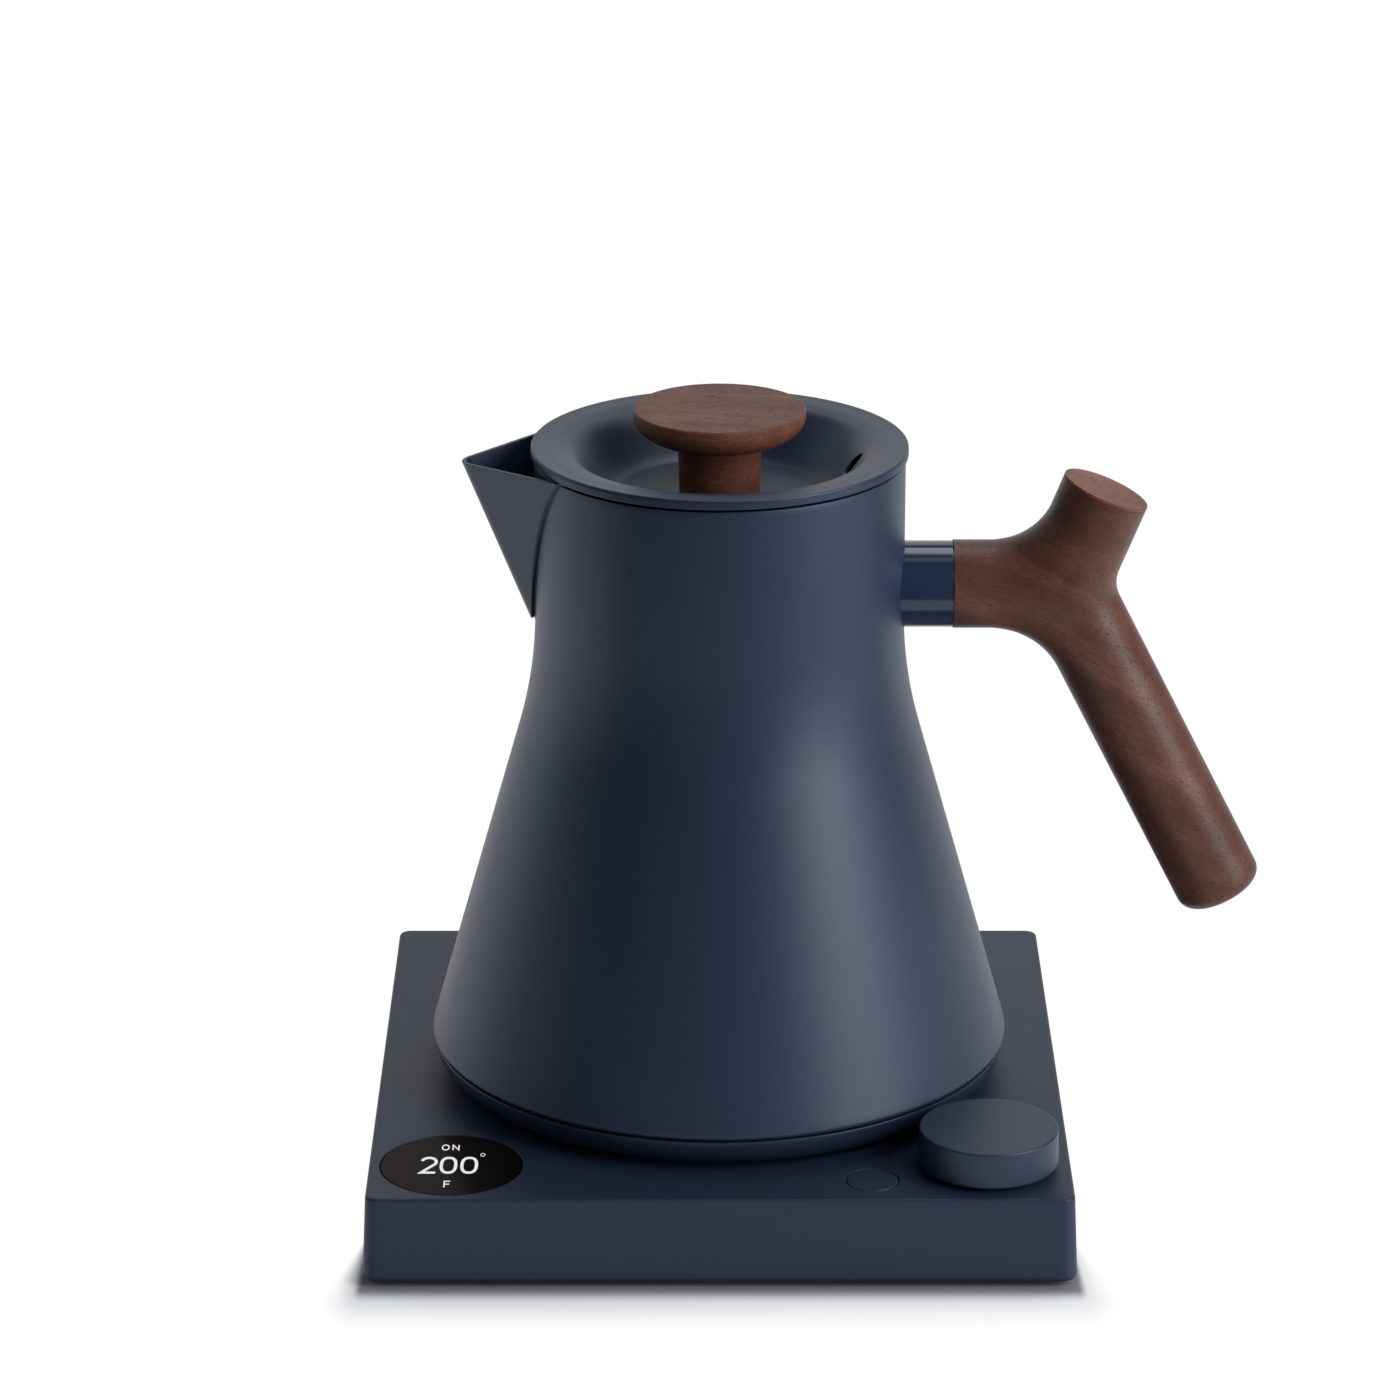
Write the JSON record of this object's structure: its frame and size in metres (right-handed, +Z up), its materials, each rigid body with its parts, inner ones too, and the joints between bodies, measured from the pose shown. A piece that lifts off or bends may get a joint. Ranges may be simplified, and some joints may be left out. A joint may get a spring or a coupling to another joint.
{
  "type": "electric pour-over kettle with heating base",
  "caption": "Flared electric kettle with an open V-shaped beak, a branching wooden handle and a lid with a wooden knob, on a square heating base with display and dial.",
  "frame": {"origin": "on the table, under the middle of the square base and on the axis of the kettle", "axes": "+X from the kettle axis towards the handle, -Y towards the user (display, button and dial), +Z up"},
  "size_m": [0.2204, 0.1732, 0.1947],
  "materials": {
    "navy_coat": "matt fine-textured navy powder coat on steel",
    "navy_gloss": "smooth semi-gloss navy lacquer on steel",
    "navy_base": "matt navy moulded plastic",
    "dark_plastic": "matt near-black moulded plastic",
    "dial_plastic": "satin dark navy plastic",
    "walnut": "oiled walnut, fine pores",
    "steel": "plain stainless steel",
    "aluminium": "milled aluminium",
    "brass": "plain brass",
    "copper": "bare copper",
    "rubber": "matt black silicone rubber",
    "display_glass": "polished black display glass",
    "circuit_board": "green solder mask",
    "winding": "yellow winding tape",
    "relay_case": "blue moulded plastic",
    "cable_jacket": "grey flexible jacket"
  },
  "bodies": {
    "base": {"base_housing": "navy_base", "base_bottom": "dark_plastic", "base_feet": "rubber", "base_screws": "steel", "base_connector": "dark_plastic", "socket_contacts": "copper", "base_connector_screws": "steel", "display_glass": "display_glass", "display_module": "dark_plastic", "control_board": "circuit_board", "board_screws": "steel", "encoder_body": "aluminium", "button_switch": "dark_plastic", "buzzer": "dark_plastic", "power_board": "circuit_board", "transformer": "winding", "relay": "relay_case", "capacitor": "dark_plastic", "terminal_block": "relay_case", "cord_gland": "rubber", "cord_clamp": "dark_plastic", "clamp_screws": "steel", "ribbon_cable": "cable_jacket", "base_leads": "copper"},
    "plug_pin": {"contact_pin": "brass"},
    "kettle": {"kettle_shell": "navy_coat", "spout": "navy_coat", "kettle_floor": "steel", "heat_plate": "aluminium", "heating_element": "steel", "thermal_cutout": "dark_plastic", "temperature_probe": "steel", "probe_seal": "rubber", "bottom_cover": "dark_plastic", "kettle_connector": "dark_plastic", "connector_rings": "brass", "kettle_connector_screws": "steel", "bottom_screws": "steel", "kettle_leads": "copper", "handle_ferrule": "navy_gloss", "handle_stud": "steel", "handle_grip": "walnut", "counterweight": "steel", "stub_cap": "walnut"},
    "gasket": {"lid_gasket": "rubber"},
    "lid": {"lid_shell": "navy_coat", "lid_liner": "dark_plastic", "lid_knob": "walnut", "knob_insert": "brass", "knob_screw": "steel", "lid_washer": "steel"},
    "dial_rotor": {"encoder_rotor": "brass"},
    "dial": {"dial_knob": "dial_plastic", "encoder_shaft": "steel"},
    "button": {"button_cap": "dial_plastic"}
  },
  "joints": [
    {"name": "kettle_lift", "type": "slide", "parent": "base", "child": "plug_pin", "axis": [0, 0, 1], "range_m": [0, 0.12]},
    {"name": "kettle_turn", "type": "hinge", "parent": "plug_pin", "child": "kettle", "pos_m": [0, 0, 0.026], "axis": [0, 0, 1], "continuous": true},
    {"name": "lid_lift", "type": "slide", "parent": "kettle", "child": "gasket", "axis": [0, 0, 1], "range_m": [0, 0.08]},
    {"name": "lid_turn", "type": "hinge", "parent": "gasket", "child": "lid", "pos_m": [0, 0, 0.176], "axis": [0, 0, 1], "continuous": true},
    {"name": "dial_turn", "type": "hinge", "parent": "base", "child": "dial_rotor", "pos_m": [0.065, -0.065, 0.013], "axis": [0, 0, 1], "continuous": true},
    {"name": "dial_press", "type": "slide", "parent": "dial_rotor", "child": "dial", "axis": [0, 0, -1], "range_m": [0, 0.0005], "stiffness_N_per_m": 2000, "springref_m": -0.001},
    {"name": "button_press", "type": "slide", "parent": "base", "child": "button", "axis": [0, 0, -1], "range_m": [0, 0.0006], "stiffness_N_per_m": 800, "springref_m": -0.001}
  ]
}
